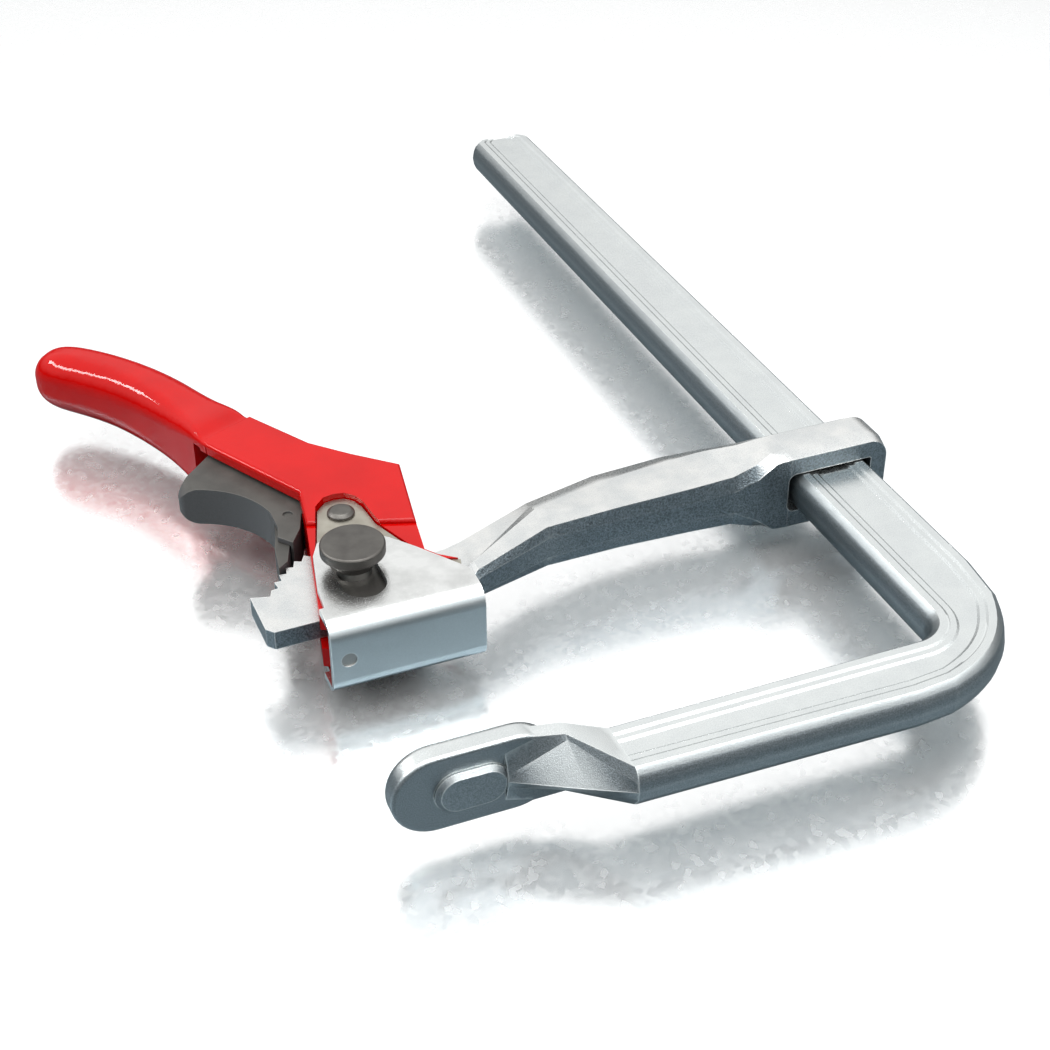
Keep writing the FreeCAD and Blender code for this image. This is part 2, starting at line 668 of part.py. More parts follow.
def build_shim(name, side):
    """Dark wear strip on the pin, between the lever's cheek and the pressure plate."""
    body = new_body(name)
    low = (dim["cheek_half"] + dim["layer_gap"]) * side
    sketch = plan_sketch(body, low, about_pivot=True)
    half = dim["shim_width"] / 2
    outline(sketch, [(-half, -dim["shim_front"]), (half, -dim["shim_front"]), (half, dim["shim_back"]),
                     (-half, dim["shim_back"])])
    ring(sketch, 0, 0, dim["pin_radius"] + dim["pin_gap"])
    pad(body, sketch, dim["shim_thickness"], backwards=side < 0)


# Lever: handle, cam plates, rivet and spacer

def on_cam(radius, angle):
    """Point on a circle about the cam's own centre, which lies off the pivot."""
    across, up = polar(radius, angle)
    return dim["cam_offset"] + across, up


def cheek_points():
    round_edge = [on_cam(dim["cheek_radius"], dim["cheek_start"]), on_cam(dim["cheek_radius"], dim["cheek_end"])]
    return shape_of("cheek_left") + round_edge + shape_of("cheek_right")


def build_lever_handle():
    body = new_body("lever_handle")
    cheek = plan_sketch(body, about_pivot=True)
    outline(cheek, cheek_points(), {2: dim["cheek_radius"]})
    pad(body, cheek, dim["cheek_half"] * 2, both_ways=True)
    plateau = plan_sketch(body, about_pivot=True)
    left, right = shape_of("cheek_left")[0], shape_of("cheek_right")[-1]
    outline(plateau, [left, right] + shape_of("plateau"))
    pad(body, plateau, dim["grip_half"] * 2, both_ways=True)
    for side in (1, -1):
        dress(body, "Fillet", on_plane("z", dim["grip_half"] * side), dim["handle_edge"])
    loft(body, grip_sections(body), ruled=False)
    cut_lever(body)
    return body


def grip_sections(body):
    """Rounded sections along the handle's curved middle line."""
    sketches = []
    stations = zip(shape_of("grip_centre"), shape_of("grip_lean"), shape_of("grip_corner"))
    for (across, up), (lean, share), (width, rounding) in stations:
        sketch = new_sketch(body, "XZ_Plane", (dim["pivot_x"] + across, 0, -(dim["pivot_y"] + up)), lean)
        half_height = dim["grip_half"] * share
        rounded_box(sketch, -width / 2, width / 2, -half_height, half_height, rounding, rounding)
        sketches.append(sketch)
    return sketches


def cut_lever(body):
    """Fork slot, trigger channel, cam pockets and bores."""
    fork = plan_sketch(body, about_pivot=True)
    ring(fork, 0, 0, dim["fork_radius"])
    pocket(body, fork, dim["tongue_thickness"] + dim["tongue_gap"] * 2, both_ways=True)
    channel = plan_sketch(body, about_pivot=True)
    outline(channel, shape_of("channel"))
    pocket(body, channel, dim["channel_half"] * 2, both_ways=True)
    depth = dim["grip_half"] - dim["cheek_half"] + dim["cam_sink"] + dim["cam_thickness"]
    for side in (1, -1):
        seat = plan_sketch(body, dim["grip_half"] * side, about_pivot=True)
        outline(seat, cam_points(dim["cam_gap"]), {12: -dim["cam_radius"] - dim["cam_gap"]})
        pocket(body, seat, depth, backwards=side < 0)
    bores = plan_sketch(body, about_pivot=True)
    ring(bores, 0, 0, dim["pin_radius"] + dim["pin_gap"])
    ring(bores, dim["rivet_x"], dim["rivet_y"], dim["rivet_radius"])
    pocket(body, bores, dim["grip_half"] * 3, both_ways=True)
    low = plan_sketch(body, -dim["grip_half"], about_pivot=True)
    ring(low, dim["trigger_x"], dim["trigger_y"], dim["trigger_pin_radius"])
    pocket(body, low, dim["grip_half"] * 2 - dim["trigger_pin_skin"], backwards=True)


def cam_points(grow=0):
    """Cam plate's outline with its tail, grown by a gap on each side of the tail."""
    ways = [-1, -1, -1, -0.7, 0, 0.7, 1, 1, 1, 1, 1]
    rises = [0, 0, 0, 0.7, 1, 0.7, 0, 0, 0, 0, 0]
    tail = [(across + grow * way, up + grow * rise)
            for (across, up), way, rise in zip(shape_of("cam_tail"), ways, rises)]
    radius = dim["cam_radius"] + grow
    return [on_cam(radius, dim["cam_start"])] + tail + [on_cam(radius, dim["cam_end"])]


def build_cam_plate(name, side):
    """Steel plate with the eccentric edge that pushes the pressure plate."""
    body = new_body(name)
    top = (dim["cheek_half"] - dim["cam_sink"]) * side
    sketch = plan_sketch(body, top, about_pivot=True)
    outline(sketch, cam_points(), {12: -dim["cam_radius"]})
    ring(sketch, 0, 0, dim["pin_radius"] + dim["pin_gap"])
    ring(sketch, dim["rivet_x"], dim["rivet_y"], dim["rivet_radius"])
    pad(body, sketch, dim["cam_thickness"], backwards=side > 0)


def headed_rivet(name, across, up, radius, head_radius, low, high, rise):
    """Rivet with a domed head at each end, standing on two faces."""
    body = new_body(name)
    sketch = new_sketch(body, "XZ_Plane", (dim["pivot_x"] + across, 0, -(dim["pivot_y"] + up)))
    edge = rise * 0.35
    crown = rise * 0.8
    shoulder = head_radius * 0.72
    upper = [(radius, high), (head_radius, high), (head_radius, high + edge), (shoulder, high + crown),
             (0, high + rise)]
    lower = [(0, low - rise), (shoulder, low - crown), (head_radius, low - edge), (head_radius, low), (radius, low)]
    outline(sketch, lower + upper)
    revolve(body, sketch, "V_Axis")
    return body


def build_link():
    face = dim["cheek_half"] - dim["cam_sink"]
    headed_rivet("link_rivet", dim["rivet_x"], dim["rivet_y"], dim["rivet_radius"], dim["rivet_head_radius"],
                 -face, face, dim["rivet_head_rise"])
    body = new_body("link_spacer")
    sketch = plan_sketch(body, about_pivot=True)
    ring(sketch, dim["rivet_x"], dim["rivet_y"], dim["spacer_radius"])
    ring(sketch, dim["rivet_x"], dim["rivet_y"], dim["rivet_radius"])
    pad(body, sketch, dim["tongue_thickness"] + dim["tongue_gap"] * 2, both_ways=True)


# Trigger, pawl and their pins

def build_trigger():
    body = new_body("release_trigger")
    sketch = plan_sketch(body, about_pivot=True)
    outline(sketch, shape_of("trigger"), {3: dim["trigger_tip_round"], 5: -dim["scoop_radius"]})
    pad(body, sketch, dim["trigger_half"] * 2, both_ways=True)
    round_trigger_tip(body)
    slot = plan_sketch(body, about_pivot=True)
    outline(slot, pawl_slot())
    pocket(body, slot, (dim["pawl_half"] + dim["pawl_gap"]) * 2, both_ways=True)
    bores = plan_sketch(body, about_pivot=True)
    ring(bores, dim["trigger_x"], dim["trigger_y"], dim["trigger_pin_radius"] + dim["pin_gap"])
    ring(bores, dim["pawl_rivet_x"], dim["pawl_rivet_y"], dim["pawl_rivet_radius"])
    pocket(body, bores, dim["trigger_half"] * 3, both_ways=True)


def round_trigger_tip(body):
    """Rounds the tip's upper and lower corners, as seen along the rail."""
    corner = dim["trigger_tip_corner"]
    high = dim["trigger_half"]
    tip = dim["pivot_x"] + shape_of("trigger")[3][0] - dim["trigger_tip_round"] * 0.45
    for side in (1, -1):
        points = [(tip, (high - corner) * side), (tip + corner, high * side), (tip + corner, (high + 1) * side),
                  (tip - 2, (high + 1) * side), (tip - 2, (high - corner) * side)]
        sketch = new_sketch(body, "XZ_Plane")
        outline(sketch, points, {0: -corner * (1.15 * side)})
        pocket(body, sketch, dim["pivot_y"] + 90, backwards=False)


def pawl_slot():
    """Slot in the trigger round the pawl's root."""
    gap = dim["pawl_gap"]
    pawl = shape_of("pawl")
    return [(pawl[1][0] - 4, pawl[1][1] - 6), (pawl[2][0] - gap, pawl[2][1]), (pawl[3][0] - gap, pawl[3][1] + gap),
            (pawl[4][0] + gap, pawl[4][1] + gap), (pawl[5][0] + gap, pawl[5][1]), (pawl[6][0] + gap, pawl[6][1]),
            (pawl[6][0] + gap, pawl[6][1] - 6)]


def build_pawl():
    body = new_body("pawl")
    sketch = plan_sketch(body, about_pivot=True)
    outline(sketch, shape_of("pawl"))
    ring(sketch, dim["pawl_rivet_x"], dim["pawl_rivet_y"], dim["pawl_rivet_radius"])
    pad(body, sketch, dim["pawl_half"] * 2, both_ways=True)
    rivet = new_body("pawl_rivet")
    pin = plan_sketch(rivet, about_pivot=True)
    ring(pin, dim["pawl_rivet_x"], dim["pawl_rivet_y"], dim["pawl_rivet_radius"])
    pad(rivet, pin, (dim["trigger_half"] - dim["pawl_rivet_sink"]) * 2, both_ways=True)
    pin = new_body("trigger_pin")
    shank = plan_sketch(pin, -dim["grip_half"], about_pivot=True)
    ring(shank, dim["trigger_x"], dim["trigger_y"], dim["trigger_pin_radius"])
    pad(pin, shank, dim["grip_half"] * 2 - dim["trigger_pin_skin"])


def leaf(name, points, side, origin):
    """Flat spring of even thickness, bent along a row of points."""
    body = new_body(name)
    thickness = dim["leaf_thickness"]
    sketch = new_sketch(body, "XY_Plane", (*origin, 0))
    outline(sketch, offset_strip(points, thickness, side))
    pad(body, sketch, dim["leaf_half"] * 2, both_ways=True)


def offset_strip(points, thickness, side):
    """Strip between a row of points and the same row moved sideways by the thickness."""
    moved = []
    for place, (across, up) in enumerate(points):
        before = points[max(place - 1, 0)]
        after = points[min(place + 1, len(points) - 1)]
        run_x = after[0].value - before[0].value
        run_y = after[1].value - before[1].value
        length = math.hypot(run_x, run_y)
        moved.append((across - thickness * (side * run_y / length), up + thickness * (side * run_x / length)))
    return points + moved[::-1]


# Pressure plate

def build_pressure_plate():
    body = new_body("pressure_plate")
    sheet = dim["plate_sheet"]
    inner = dim["cheek_half"] + dim["shim_thickness"] + dim["layer_gap"] * 2
    outer = inner + sheet
    bend = dim["plate_bend"]
    inner_bend = dim["plate_inner_bend"]
    face = dim["plate_face"]
    back = dim["pivot_y"] + dim["plate_slot_back"] + 10
    wall = face + sheet
    channel = new_sketch(body, "YZ_Plane")
    outline(channel, [(face, -outer + bend), (face + bend, -outer), (back, -outer), (back, -inner),
                      (wall + inner_bend, -inner), (wall, -inner + inner_bend), (wall, inner - inner_bend),
                      (wall + inner_bend, inner), (back, inner), (back, outer), (face + bend, outer),
                      (face, outer - bend)],
            {0: bend, 4: -inner_bend, 6: -inner_bend, 10: bend})
    pad(body, channel, dim["plate_half_width"] * 2, both_ways=True)
    trim = plan_sketch(body, about_pivot=True)
    flange = shape_of("flange")
    far = flange[0][0] * 2
    outline(trim, flange[1:-1] + [(-far, flange[-1][1]), (-far, far), (far, far), (far, flange[0][1])])
    pocket(body, trim, outer * 3, both_ways=True)
    slot = plan_sketch(body, about_pivot=True)
    half = dim["plate_slot_width"] / 2
    front = -dim["plate_slot_front"] + half
    rear = dim["plate_slot_back"] - half
    outline(slot, [(-half, front), (half, front), (half, rear), (-half, rear)], {0: half + 0.001, 2: half + 0.001})
    pocket(body, slot, outer * 3, both_ways=True)
    hole = new_sketch(body, "XZ_Plane", (0, 0, -face + 1))
    ring(hole, dim["plate_rivet_x"], 0, dim["plate_hole_radius"])
    pocket(body, hole, sheet + 2)


def build_plate_fittings():
    """Rivet and return leaf inside the pressure plate."""
    rivet = new_body("plate_rivet")
    base = dim["plate_face"] + dim["plate_sheet"]
    shank = new_sketch(rivet, "XZ_Plane", (dim["plate_rivet_x"], 0, -(dim["plate_face"] + dim["plate_rivet_sink"])))
    ring(shank, 0, 0, dim["plate_hole_radius"])
    pad(rivet, shank, dim["plate_sheet"] - dim["plate_rivet_sink"] + dim["leaf_thickness"], backwards=True)
    head = new_sketch(rivet, "XZ_Plane", (dim["plate_rivet_x"], 0, -(base + dim["leaf_thickness"])))
    ring(head, 0, 0, dim["plate_rivet_radius"] * 1.6)
    pad(rivet, head, 1.2, backwards=True)
    spring = new_body("plate_spring")
    start = dim["plate_rivet_x"] - dim["plate_rivet_radius"] * 1.7
    points = [(start, as_size(0))] + shape_of("plate_leaf")
    strip = new_sketch(spring, "XY_Plane", (0, base, 0))
    outline(strip, offset_strip(points, dim["leaf_thickness"], 1))
    pad(spring, strip, dim["leaf_half"] * 2, both_ways=True)
    hole = new_sketch(spring, "XZ_Plane", (dim["plate_rivet_x"], 0, -base + 1))
    ring(hole, 0, 0, dim["plate_hole_radius"])
    pocket(spring, hole, dim["leaf_thickness"] + 2)


# Document

doc = FreeCAD.newDocument("quick_release_bar_clamp")
sheet = doc.addObject("Spreadsheet::Sheet", "Sizes")
dim = write_sheet(sheet)
doc.recompute()

build_fixed_bar()
build_sliding_arm()
build_pivot()
build_lever_handle()
build_cam_plate("cam_plate_top", 1)
build_cam_plate("cam_plate_bottom", -1)
build_link()
build_trigger()
build_pawl()
leaf("trigger_spring", shape_of("trigger_leaf"), 1, (dim["pivot_x"], dim["pivot_y"]))
build_pressure_plate()
build_plate_fittings()
doc.recompute()

# Every object is checked before anything is written

for item in doc.Objects:
    if "Invalid" in item.State or "Error" in item.State:
        raise RuntimeError(f"{item.Name} failed: {item.State}")

pieces = [item for item in doc.Objects if item.TypeId == "PartDesign::Body"]
for piece in pieces:
    if piece.Shape.isNull() or not piece.Shape.isValid() or len(piece.Shape.Solids) != 1:
        raise RuntimeError(f"{piece.Label} is not one sound solid")

os.makedirs("parts", exist_ok=True)
for piece in pieces:
    piece.Shape.exportStep(f"parts/{piece.Label}.step")
    box = piece.Shape.BoundBox
    print(f"{piece.Label:18s} {piece.Shape.Volume / 1000:8.2f} cm3  X {box.XMin:7.1f} {box.XMax:7.1f}"
          f"  Y {box.YMin:7.1f} {box.YMax:7.1f}  Z {box.ZMin:6.1f} {box.ZMax:6.1f}")
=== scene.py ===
# %% [markdown]
# # A quick release bar clamp, dressed for a studio picture
#
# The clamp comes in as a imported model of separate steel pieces. Each piece already has its place and
# its true size, in metres. This lesson rounds the edges of each piece, gives it its finish, and sets
# the clamp on a pale floor under soft light.

import math

import bpy
from mathutils import Matrix, Vector


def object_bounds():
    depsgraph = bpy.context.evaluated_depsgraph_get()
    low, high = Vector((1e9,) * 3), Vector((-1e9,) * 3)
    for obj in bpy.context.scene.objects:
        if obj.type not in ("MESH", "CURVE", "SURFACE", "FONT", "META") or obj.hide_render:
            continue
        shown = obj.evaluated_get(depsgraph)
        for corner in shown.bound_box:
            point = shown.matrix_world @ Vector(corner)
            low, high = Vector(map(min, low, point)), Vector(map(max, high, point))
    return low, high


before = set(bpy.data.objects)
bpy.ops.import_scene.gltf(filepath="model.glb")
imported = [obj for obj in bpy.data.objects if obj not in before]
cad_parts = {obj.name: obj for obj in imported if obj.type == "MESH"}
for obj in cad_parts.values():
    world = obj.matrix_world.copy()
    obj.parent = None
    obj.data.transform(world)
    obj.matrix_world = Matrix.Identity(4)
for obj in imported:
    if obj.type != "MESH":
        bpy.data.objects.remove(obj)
cad_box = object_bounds()
MM = 0.001
scene = bpy.context.scene
print("pieces:", len(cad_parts), "box:", [round(size / MM, 1) for size in cad_box[1] - cad_box[0]])

# %% [markdown]
# ## Camera
#
# The picture was taken from the front left, a little above the clamp, with a longish lens. Three unit
# vectors describe the camera: right, up and forward. They make the columns of its matrix, where the
# third column points backwards.

# %% Camera
CAMERA_PLACE = Vector((-0.11633, -0.32206, 0.31019))
CAMERA_RIGHT = Vector((0.92648, -0.37630, -0.00499))
CAMERA_UP = Vector((0.21818, 0.52629, 0.82184))
CAMERA_FORWARD = Vector((0.30663, 0.76251, -0.56970))
SENSOR_WIDTH = 36.0                     # both in millimetres, as on a real camera
FOCAL_LENGTH = 62.23
NEAREST_SEEN = 0.01

camera = bpy.data.objects.new("camera", bpy.data.cameras.new("camera"))
scene.collection.objects.link(camera)
turn = Matrix((CAMERA_RIGHT, CAMERA_UP, -CAMERA_FORWARD)).transposed()
camera.matrix_world = Matrix.Translation(CAMERA_PLACE) @ turn.to_4x4()
camera.data.sensor_width = SENSOR_WIDTH
camera.data.lens = FOCAL_LENGTH
camera.data.clip_start = NEAREST_SEEN
scene.camera = camera
print("camera:", [round(part, 3) for part in camera.location])

# %% [markdown]
# ## Small steps for node trees
#
# Every material here is a tree of nodes. These functions each add one node with its settings and its
# links, so that the recipes further down read like sums.

# %% Node steps
MIX_COLOURS = (6, 7)                    # the inputs of a mix node that take its two colours
MIX_RESULT = 2                          # and its output when it mixes colours


def new_material(name):
    """Material with a Principled BSDF, returned with its node tree and that shader."""
    material = bpy.data.materials.new(name)
    material.use_nodes = True
    tree = material.node_tree
    return material, tree, tree.nodes["Principled BSDF"]


def fill_input(tree, node, key, value):
    """Links an input to another node's output, or gives it a fixed value."""
    if isinstance(value, bpy.types.NodeSocket):
        tree.links.new(value, node.inputs[key])
    else:
        node.inputs[key].default_value = value


def add_node(tree, kind, inputs=None, **settings):
    """Adds a node, sets its properties and fills its inputs by name or number."""
    node = tree.nodes.new(kind)
    for key, value in settings.items():
        setattr(node, key, value)
    for key, value in (inputs or {}).items():
        fill_input(tree, node, key, value)
    return node


def maths(tree, operation, first, second=0.0, clamp=False):
    """Result of a sum on one or two values."""
    node = add_node(tree, "ShaderNodeMath", {0: first, 1: second}, operation=operation, use_clamp=clamp)
    return node.outputs[0]


def range_of(tree, value, low, high, start=0.0, end=1.0):
    """Runs from low to high while the value runs from start to end, and holds beyond both."""
    inputs = {"Value": value, "From Min": start, "From Max": end, "To Min": low, "To Max": high}
    return add_node(tree, "ShaderNodeMapRange", inputs).outputs[0]


def mix_colour(tree, factor, low, high):
    """Colour that goes from low to high as the factor goes from 0 to 1."""
    node = add_node(tree, "ShaderNodeMix", {"Factor": factor}, data_type="RGBA")
    for key, colour in zip(MIX_COLOURS, (low, high)):
        if isinstance(colour, bpy.types.NodeSocket):
            fill_input(tree, node, key, colour)
        else:
            fill_input(tree, node, key, (*colour, 1))
    return node.outputs[MIX_RESULT]


# %% [markdown]
# ## Floor
#
# The clamp lies on pale sheet metal, which gives it a blurred mirror image and a soft shadow. Small
# flakes, each a little smoother or rougher than the next, break that image up. The floor looks white
# to the camera, but the clamp's own sides see it as a darker blue grey. That darker grey is painted
# shade: it darkens the clamp's sides and undersides, which gives them their depth.

# %% Floor
FLOOR_HEIGHT = cad_box[0].z - 0.0002
FLOOR_REACH = 6.0
FLOOR_METALLIC = 0.8
FLOOR_TO_CAMERA = (0.96, 0.97, 0.97)
# painted shade: the floor's colour as the clamp sees it, darker than the floor the camera sees
FLOOR_PAINTED_SHADE_TO_CLAMP = (0.22, 0.265, 0.29)
FLAKES_PER_METRE = 520.0
FLAKE_ROUGHNESS = (0.17, 0.30)

corners = [(-FLOOR_REACH, -FLOOR_REACH), (FLOOR_REACH, -FLOOR_REACH),
           (FLOOR_REACH, FLOOR_REACH), (-FLOOR_REACH, FLOOR_REACH)]
floor_mesh = bpy.data.meshes.new("floor")
floor_mesh.from_pydata([(x, y, FLOOR_HEIGHT) for x, y in corners], [], [(0, 1, 2, 3)])
floor_mesh.update()
floor = bpy.data.objects.new("floor", floor_mesh)
scene.collection.objects.link(floor)

floor_material, tree, shader = new_material("pale floor")
shader.inputs["Metallic"].default_value = FLOOR_METALLIC
rays = add_node(tree, "ShaderNodeLightPath").outputs
# Painted shade: rays that leave the clamp see the floor darker than the camera does.
floor_colour_with_painted_shade = mix_colour(tree, rays["Is Camera Ray"], FLOOR_PAINTED_SHADE_TO_CLAMP, FLOOR_TO_CAMERA)
tree.links.new(floor_colour_with_painted_shade, shader.inputs["Base Color"])
place = add_node(tree, "ShaderNodeTexCoord").outputs["Object"]
flakes = add_node(tree, "ShaderNodeTexVoronoi", {"Vector": place, "Scale": FLAKES_PER_METRE})
tree.links.new(range_of(tree, flakes.outputs["Color"], *FLAKE_ROUGHNESS), shader.inputs["Roughness"])
floor.data.materials.append(floor_material)

# %% [markdown]
# ## World and lamps
#
# Metal shows what is around it. The world behind the clamp is dim at its rim and bright overhead, and
# large panels and narrow strips add the main light and the bright lines. The camera sees the world as
# plain white.

# %% World
WORLD_RIM = 0.06                        # strength low down and overhead
WORLD_TOP = 1.12
RIM_RISE = 0.06                         # heights of direction where the rim ends and the top starts
TOP_RISE = 0.42
WORLD_TO_CAMERA = 1.0

world = bpy.data.worlds.new("studio")
world.use_nodes = True
scene.world = world
tree = world.node_tree
backdrop = tree.nodes["Background"]
backdrop.inputs["Color"].default_value = (1, 1, 1, 1)
rays = add_node(tree, "ShaderNodeLightPath").outputs
seen = maths(tree, "MAXIMUM", rays["Is Camera Ray"], rays["Is Transmission Ray"])
heading = add_node(tree, "ShaderNodeTexCoord").outputs["Generated"]
rise = add_node(tree, "ShaderNodeSeparateXYZ", {0: heading}).outputs["Z"]
glow = range_of(tree, rise, WORLD_RIM, WORLD_TOP, RIM_RISE, TOP_RISE)
strength = add_node(tree, "ShaderNodeMix", {"Factor": seen, "A": glow, "B": WORLD_TO_CAMERA})
tree.links.new(strength.outputs[0], backdrop.inputs["Strength"])

# %% Lamps
CLAMP_MIDDLE = Vector((0.04, 0.13, 0.0))
# Each lamp has a place, a width and a depth in metres, and a power in watts.
LAMPS = {
    "top_panel": ((0.0, 0.05, 1.05), 1.0, 0.8, 10.0),
    "left_strip": ((-0.80, 0.35, 0.66), 1.0, 0.09, 7.0),
    "front_strip": ((0.40, -0.62, 0.92), 1.0, 0.07, 3.5),
    "right_panel": ((0.8, -0.35, 0.5), 0.5, 0.5, 1.0),
}


def panel_lamp(name, place, width, depth, power):
    """Oblong lamp that faces the middle of the clamp."""
    light = bpy.data.lights.new(name, "AREA")
    light.shape = "RECTANGLE"
    light.size = width
    light.size_y = depth
    light.energy = power
    lamp = bpy.data.objects.new(name, light)
    scene.collection.objects.link(lamp)
    lamp.location = place
    lamp.rotation_mode = "QUATERNION"
    lamp.rotation_quaternion = (Vector(place) - CLAMP_MIDDLE).to_track_quat("Z", "Y")


for name, lamp_facts in LAMPS.items():
    panel_lamp(name, *lamp_facts)
scene.view_settings.view_transform = "Standard"

# %% [markdown]
# ## Edges of machined and forged pieces
#
# No real edge is perfectly sharp, and a small round is what catches the light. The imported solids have
# sharp edges, so each gets four modifiers. The first joins points that lie in the same place, the
# second makes one face of each flat area, the third rounds every edge that turns by more than a set
# angle, and the fourth makes large faces look flat right up to those rounds. The solid itself stays
# as it is.

# %% Round the edges
SAME_POINT = 0.002 * MM
FLAT_TURN = math.radians(0.3)
SHARP_TURN = math.radians(28)
ROUND_SEGMENTS = 2
FLAT_WEIGHT = 90
# Radius of the round on each piece's edges, in millimetres.
EDGE_ROUNDS = {
    "fixed_bar": 0.12, "sliding_arm": 0.6, "pressure_plate": 0.25, "lever_handle": 0.5,
    "cam_plate_top": 0.15, "cam_plate_bottom": 0.15, "pin_cap_top": 0.15, "pin_cap_bottom": 0.15,
    "collar_top": 0.2, "collar_bottom": 0.2, "pivot_pin": 0.2, "slide_shim_top": 0.05,
    "slide_shim_bottom": 0.05, "link_rivet": 0.2, "link_spacer": 0.2, "release_trigger": 0.6,
    "pawl": 0.25, "pawl_rivet": 0.15, "trigger_pin": 0.15, "trigger_spring": 0.1,
    "plate_rivet": 0.1, "plate_spring": 0.1,
}


def round_edges(piece, radius):
    for polygon in piece.data.polygons:
        polygon.use_smooth = True
    weld = piece.modifiers.new("join points", "WELD")
    weld.merge_threshold = SAME_POINT
    plain = piece.modifiers.new("join flat triangles", "DECIMATE")
    plain.decimate_type = "DISSOLVE"
    plain.angle_limit = FLAT_TURN
    bevel = piece.modifiers.new("round edges", "BEVEL")
    bevel.width = radius
    bevel.segments = ROUND_SEGMENTS
    bevel.limit_method = "ANGLE"
    bevel.angle_limit = SHARP_TURN
    bevel.use_clamp_overlap = True
    flat = piece.modifiers.new("keep flats flat", "WEIGHTED_NORMAL")
    flat.mode = "FACE_AREA"
    flat.weight = FLAT_WEIGHT


for name, radius in EDGE_ROUNDS.items():
    round_edges(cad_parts[name], radius * MM)
print("rounded:", len(EDGE_ROUNDS))

# %% [markdown]
# ## Grain, shared by all metals
#
# Zinc plating over a forging isn't smooth: it keeps a fine grain that sparkles. One node group makes
# that grain, and each metal sets how fine it is. The group puts out a height for the bump, a speck
# for the roughness and the rough sides' colour, and a slow cloud for the colour of the faces.

# %% Grain group
NOISE_LOW = 0.35                        # noise below this counts as 0
SPECK_HIGH = 0.68                       # and above these as 1
CLOUD_HIGH = 0.65


def new_group(name, numbers, results):
    """Node group with float inputs, given with their start values, and float outputs."""
    group = bpy.data.node_groups.new(name, "ShaderNodeTree")
    for label, value in numbers.items():
        socket = group.interface.new_socket(name=label, in_out="INPUT", socket_type="NodeSocketFloat")
        socket.default_value = value
    for label in results:
        group.interface.new_socket(name=label, in_out="OUTPUT", socket_type="NodeSocketFloat")
    return group, group.nodes.new("NodeGroupInput"), group.nodes.new("NodeGroupOutput")


def make_grain_group():
    group, enter, leave = new_group("metal grain", {"Grain per metre": 2200.0, "Cloud per metre": 120.0},
                                    ["Height", "Speck", "Cloud"])
    place = add_node(group, "ShaderNodeTexCoord").outputs["Object"]

    def noise(scale, detail, roughness):
        inputs = {"Vector": place, "Scale": enter.outputs[scale], "Detail": detail, "Roughness": roughness}
        return add_node(group, "ShaderNodeTexNoise", inputs).outputs["Fac"]

    fine = noise("Grain per metre", 2.0, 0.6)
    coarse = noise("Cloud per metre", 3.0, 0.55)
    group.links.new(fine, leave.inputs["Height"])
    group.links.new(range_of(group, fine, 0.0, 1.0, NOISE_LOW, SPECK_HIGH), leave.inputs["Speck"])
    group.links.new(range_of(group, coarse, 0.0, 1.0, NOISE_LOW, CLOUD_HIGH), leave.inputs["Cloud"])
    return group


grain_group = make_grain_group()

# %% [markdown]
# ## Which way a surface faces
#
# The wide faces of a forging are pressed smooth by the die, and its narrow sides stay rough. A second
# group turns the surface's direction into a mask: 1 on the sides, 0 on the faces above and below. The
# metals use it for rougher sides, and also for a darker colour on the sides, which is partly the rough
# forged surface and partly painted shade.

# %% Side mask group
UPRIGHT_FACE = 0.9                      # how far a face's direction points up or down
UPRIGHT_SIDE = 0.55


def make_side_group():
    group, _, leave = new_group("side mask", {}, ["Side"])
    facing = add_node(group, "ShaderNodeTexCoord").outputs["Normal"]
    split = add_node(group, "ShaderNodeSeparateXYZ", {0: facing})
    upright = maths(group, "ABSOLUTE", split.outputs["Z"])
    group.links.new(range_of(group, upright, 0.0, 1.0, UPRIGHT_FACE, UPRIGHT_SIDE), leave.inputs["Side"])
    return group


side_group = make_side_group()

# %% [markdown]
# ## Painted highlight on edges
#
# The third group compares the true surface direction with one that is softened over a small radius.
# They differ only near an edge, which gives a thin, even mask. The metals use it to paint a brighter
# colour along every rounded edge, a painted highlight.

# %% Edge mask group
EDGE_SAMPLES = 6


def make_edge_group():
    group, enter, leave = new_group("edge mask", {"Reach": 0.0006, "Gain": 6.0}, ["Edge"])
    soft = add_node(group, "ShaderNodeBevel", {"Radius": enter.outputs["Reach"]}, samples=EDGE_SAMPLES)
    true = add_node(group, "ShaderNodeNewGeometry")
    same = add_node(group, "ShaderNodeVectorMath", {0: soft.outputs[0], 1: true.outputs["True Normal"]},
                    operation="DOT_PRODUCT")
    apart = maths(group, "SUBTRACT", 1.0, same.outputs["Value"])
    edge = maths(group, "MULTIPLY", apart, enter.outputs["Gain"], clamp=True)
    group.links.new(edge, leave.inputs["Edge"])
    return group


edge_group = make_edge_group()

# %% [markdown]
# ## Metals
#
# All the metals share one recipe, with the grain in their colour, their roughness and their bump, and
# a painted highlight along their edges. The bar, the sliding arm and the pressure plate are bright
# zinc, a little blue in its grey. On the sides the grain is deeper and the tone darker; that darker
# tone is partly the rough forged surface and partly painted shade. The pins, the cam plates, the caps
# and the dark trigger use the same recipe with duller and darker tones.

# %% Metal recipe
SIDE_ROUGHNESS = 0.10                   # added to the roughness on the sides
EDGE_HIGHLIGHT_GAIN = 1.25                        # how much brighter the painted highlight on an edge is


def add_bump(tree, shader, height):
    bump = add_node(tree, "ShaderNodeBump", {"Height": height, "Strength": 1.0, "Distance": 1.0})
    tree.links.new(bump.outputs[0], shader.inputs["Normal"])
    return bump


